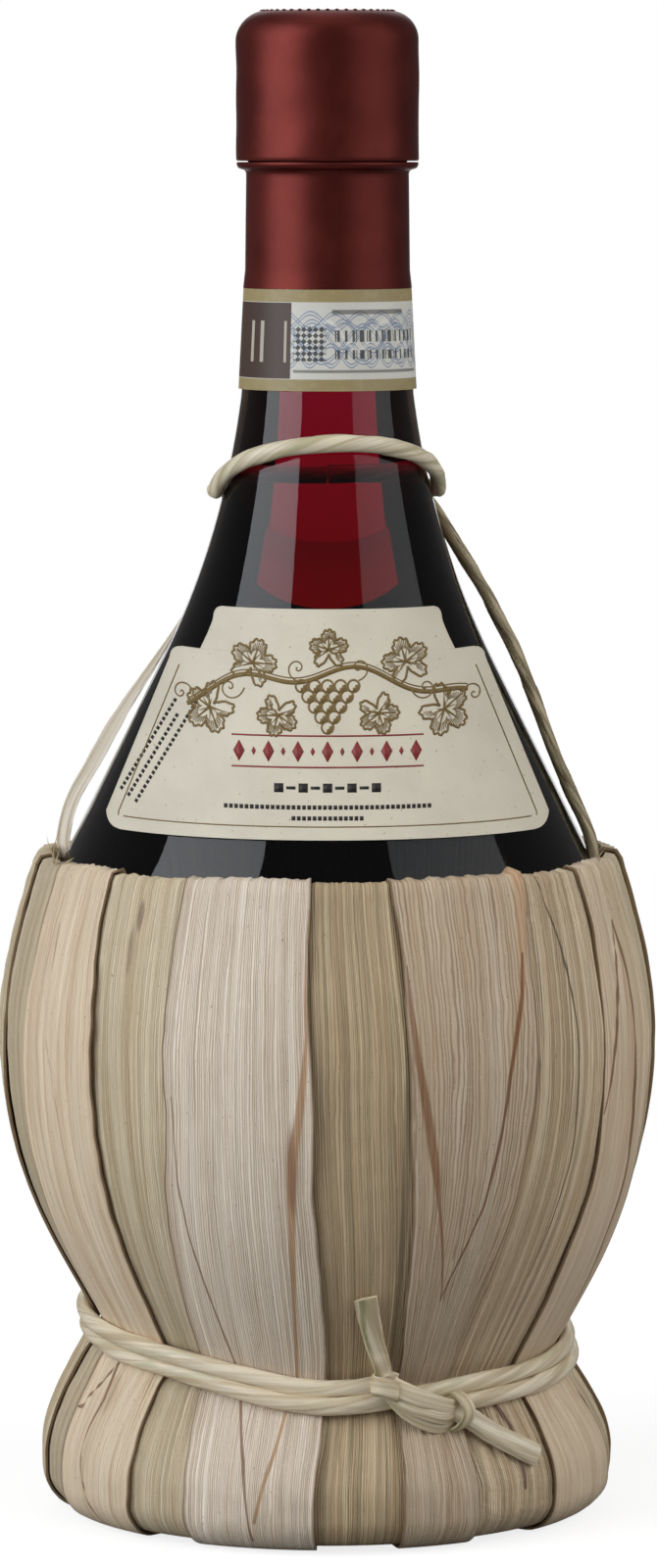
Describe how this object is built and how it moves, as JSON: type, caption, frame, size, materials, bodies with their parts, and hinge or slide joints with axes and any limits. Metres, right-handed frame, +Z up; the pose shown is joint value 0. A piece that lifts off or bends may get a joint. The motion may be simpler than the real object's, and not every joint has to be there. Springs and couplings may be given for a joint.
{
  "type": "wine flask in a basket",
  "caption": "Round-bellied glass wine flask with a corked neck under foil, standing in a basket of broad husk strips tied at the waist, with a corded handle.",
  "frame": {"origin": "middle of the basket's foot, on the surface that it stands on", "axes": "+Z up along the neck; the label faces -Y; +X is the side of the corded handle, to the right seen from the front"},
  "size_m": [0.1159, 0.1158, 0.2656],
  "materials": {
    "flask_glass": "gloss",
    "red_wine": "gloss",
    "cork": "matte",
    "capsule_foil": "satin",
    "band_paper": "satin",
    "label_paper": "matte",
    "bound_straw": "matte",
    "waist_cord": "matte",
    "neck_cord": "matte",
    "handle_cord": "matte",
    "handle_husk": "satin",
    "outer_husk": "satin",
    "inner_husk": "satin"
  },
  "bodies": {
    "bottle": {"glass_flask": "flask_glass", "wine": "red_wine", "capsule_skirt": "capsule_foil", "neck_band": "band_paper", "front_label": "label_paper", "base_ring": "bound_straw", "rim_hoop": "bound_straw", "waist_tie": "waist_cord", "waist_knot": "waist_cord", "tie_tail_upper": "waist_cord", "tie_tail_lower": "waist_cord", "neck_loop": "neck_cord", "handle_cord": "handle_cord", "handle_strip": "handle_husk", "husk_strip_01": "outer_husk", "husk_strip_02": "inner_husk", "husk_strip_03": "outer_husk", "husk_strip_04": "inner_husk", "husk_strip_05": "outer_husk", "husk_strip_06": "inner_husk", "husk_strip_07": "outer_husk", "husk_strip_08": "inner_husk", "husk_strip_09": "outer_husk", "husk_strip_10": "inner_husk", "husk_strip_11": "outer_husk", "husk_strip_12": "inner_husk", "husk_strip_13": "outer_husk", "husk_strip_14": "inner_husk", "husk_strip_15": "outer_husk", "husk_strip_16": "inner_husk", "husk_strip_17": "outer_husk", "husk_strip_18": "inner_husk"},
    "stopper": {"cork": "cork"},
    "cap": {"capsule_top": "capsule_foil"}
  },
  "joints": [
    {"name": "cork_pull", "type": "slide", "parent": "bottle", "child": "stopper", "axis": [0, 0, 1], "range_m": [0, 0.05]},
    {"name": "cap_lift", "type": "slide", "parent": "stopper", "child": "cap", "axis": [0, 0, 1], "range_m": [0, 0.035]}
  ]
}
